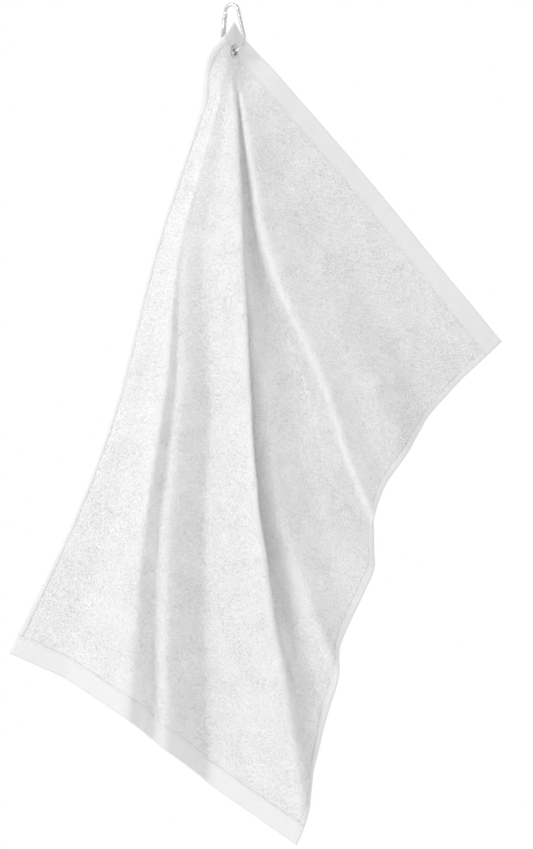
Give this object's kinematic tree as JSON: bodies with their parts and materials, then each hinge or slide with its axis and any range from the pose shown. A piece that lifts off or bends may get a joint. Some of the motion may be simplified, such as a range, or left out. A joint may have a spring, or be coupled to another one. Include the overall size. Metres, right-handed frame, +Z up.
{
  "type": "golf towel",
  "caption": "White terry golf towel with flat end hems, hung in folds by a corner grommet on a small pear-shaped snap hook.",
  "frame": {"origin": "inside top of the snap hook's bow, where whatever carries the towel bears", "axes": "+Z up; the towel is seen from the -Y side, with its longer fall to the left (-X) and its upper end hem to the right (+X)"},
  "size_m": [0.4691, 0.1272, 0.7935],
  "materials": {
    "hook_metal": "polished",
    "spring_metal": "satin",
    "grommet_metal": "polished",
    "terry": "brushed cotton pile",
    "hem": "flat woven cotton",
    "thread": "matt cotton thread"
  },
  "bodies": {
    "hook": {"hook_frame": "hook_metal", "catch_pin": "hook_metal", "gate_pivot_pin": "hook_metal"},
    "gate": {"gate_lever": "hook_metal", "gate_plunger": "hook_metal", "gate_spring": "spring_metal"},
    "towel": {"towel_cloth": "terry", "end_hem_upper": "hem", "end_hem_lower": "hem", "side_hem_left": "hem", "side_hem_right": "hem", "stitch_upper": "thread", "stitch_lower": "thread", "stitch_left": "thread", "stitch_right": "thread", "grommet_eyelet": "grommet_metal", "grommet_washer": "grommet_metal"}
  },
  "joints": [
    {"name": "gate_hinge", "type": "hinge", "parent": "hook", "child": "gate", "pos_m": [-0.00791, 0.00369, -0.02726], "axis": [0.4226, 0.9063, 0], "range_deg": [0, 11], "stiffness_Nm_per_rad": 0.02, "springref_deg": -8.59},
    {"name": "towel_swing", "type": "hinge", "parent": "hook", "child": "towel", "pos_m": [0.00196, -0.00091, -0.04212], "axis": [0.9063, -0.4226, 0], "range_deg": [-15, 15]}
  ]
}
